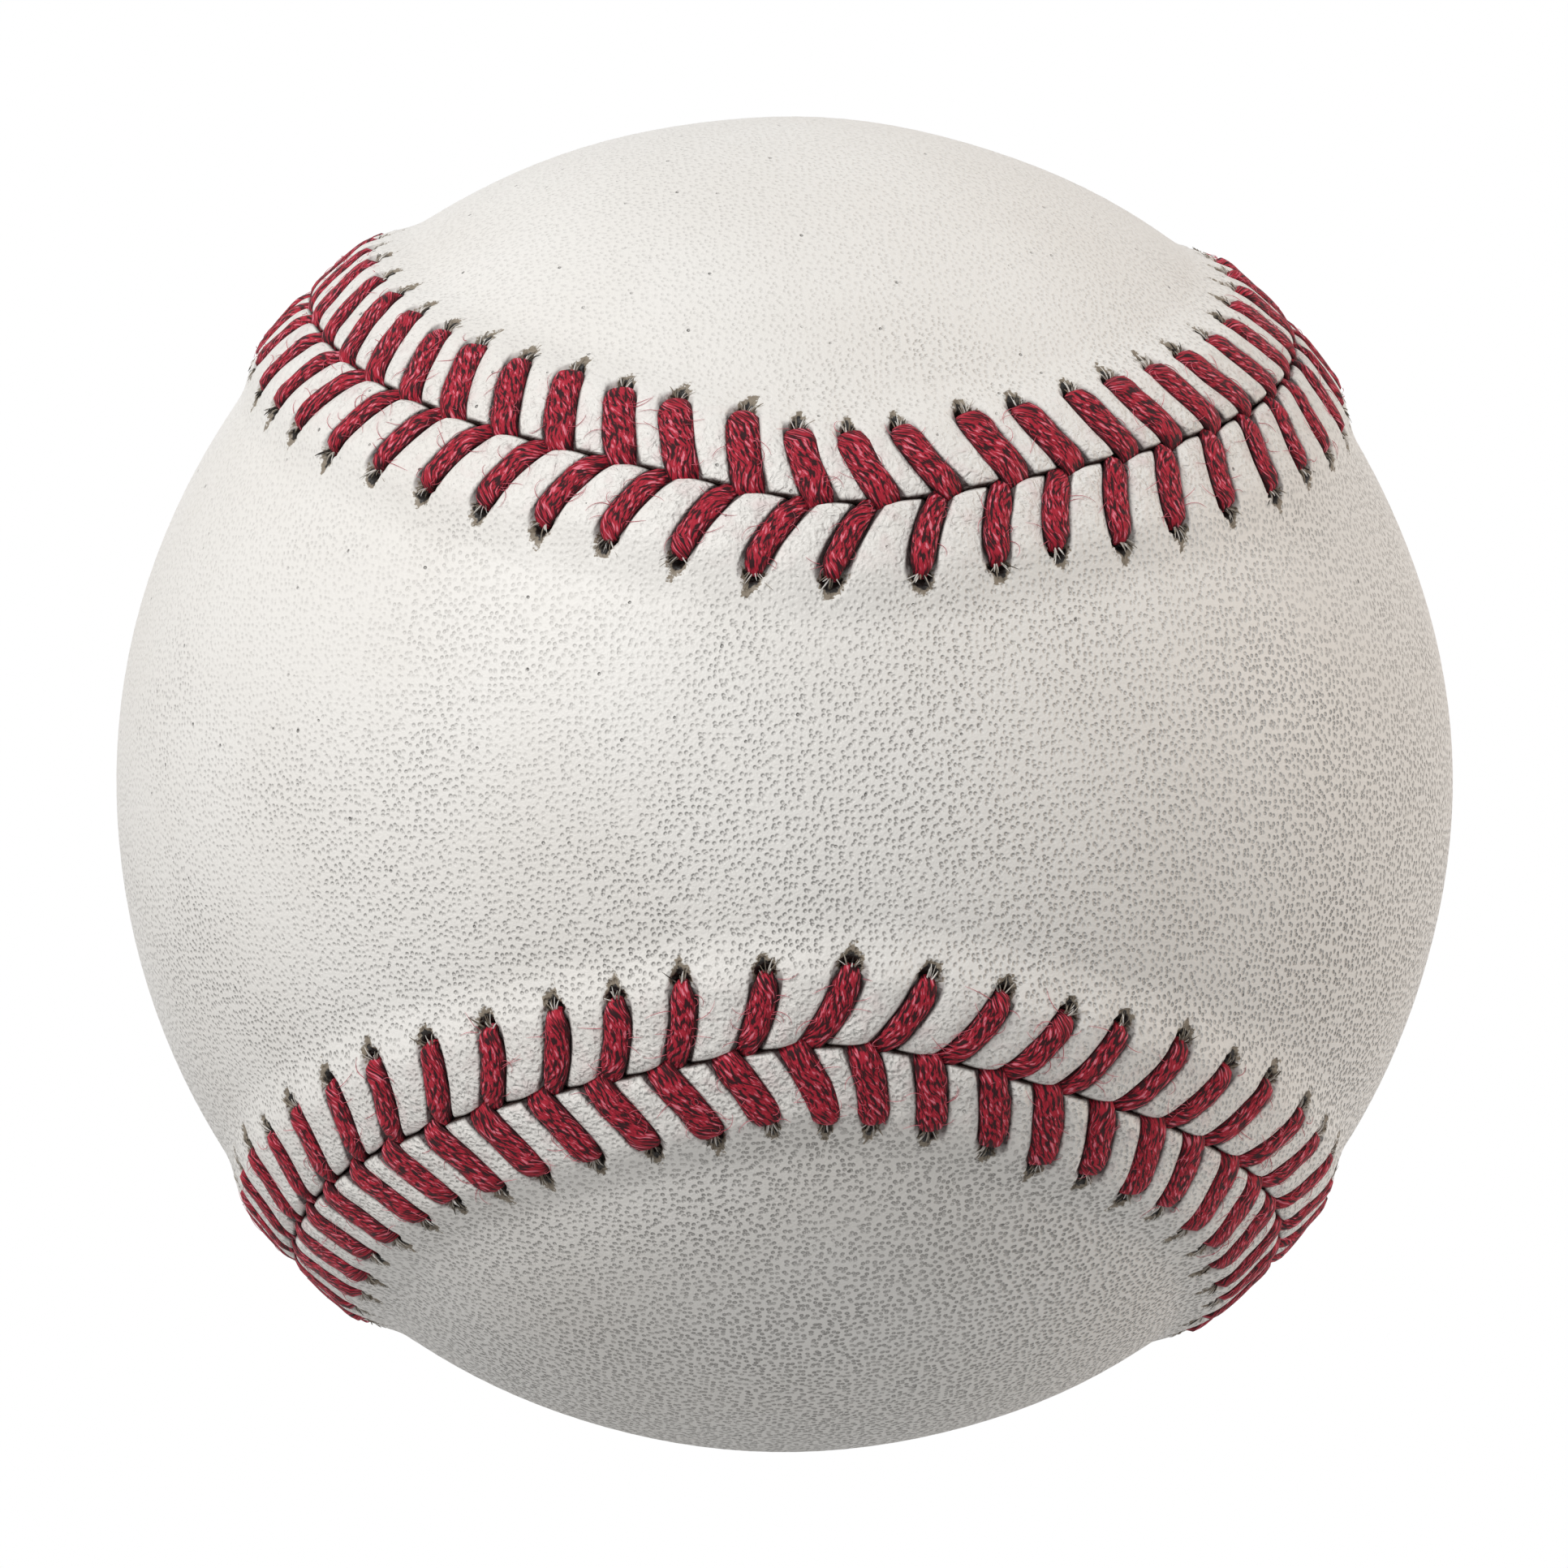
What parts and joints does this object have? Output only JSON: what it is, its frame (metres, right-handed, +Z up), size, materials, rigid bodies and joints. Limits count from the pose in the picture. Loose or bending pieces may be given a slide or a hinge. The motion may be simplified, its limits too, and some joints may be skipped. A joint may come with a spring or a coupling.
{
  "type": "baseball",
  "caption": "Leather-covered baseball with a raised, red-stitched seam, over wool windings and a rubber-cushioned cork core.",
  "frame": {"origin": "centre of the ball", "axes": "-Y towards the viewer, through the middle of the front panel's neck; +X to the viewer's right; +Z up. The front panel's lobes lie round +X and -X, the back panel's round +Z and -Z, and the back panel's neck faces +Y."},
  "size_m": [0.0738, 0.0738, 0.0738],
  "materials": {
    "leather": "white full-grain cowhide, fine pebble grain, matt",
    "thread": "crimson waxed cotton, twisted, satin",
    "finishing_yarn": "off-white polyester and cotton yarn, wound",
    "grey_wool": "grey wool yarn, wound",
    "white_wool": "white wool yarn, wound",
    "red_rubber": "moulded red rubber, matt",
    "black_rubber": "moulded black rubber, matt",
    "cork": "cork grains bonded with rubber, matt"
  },
  "bodies": {
    "root": {"cork_core": "cork", "black_rubber_upper_half": "black_rubber", "black_rubber_lower_half": "black_rubber", "red_rubber_gasket": "red_rubber", "red_rubber_upper_half": "red_rubber", "red_rubber_lower_half": "red_rubber", "grey_wool_winding": "grey_wool", "white_wool_winding": "white_wool", "outer_grey_wool_winding": "grey_wool", "finishing_yarn_winding": "finishing_yarn", "front_leather_panel": "leather", "back_leather_panel": "leather", "seam_thread": "thread"}
  },
  "joints": []
}
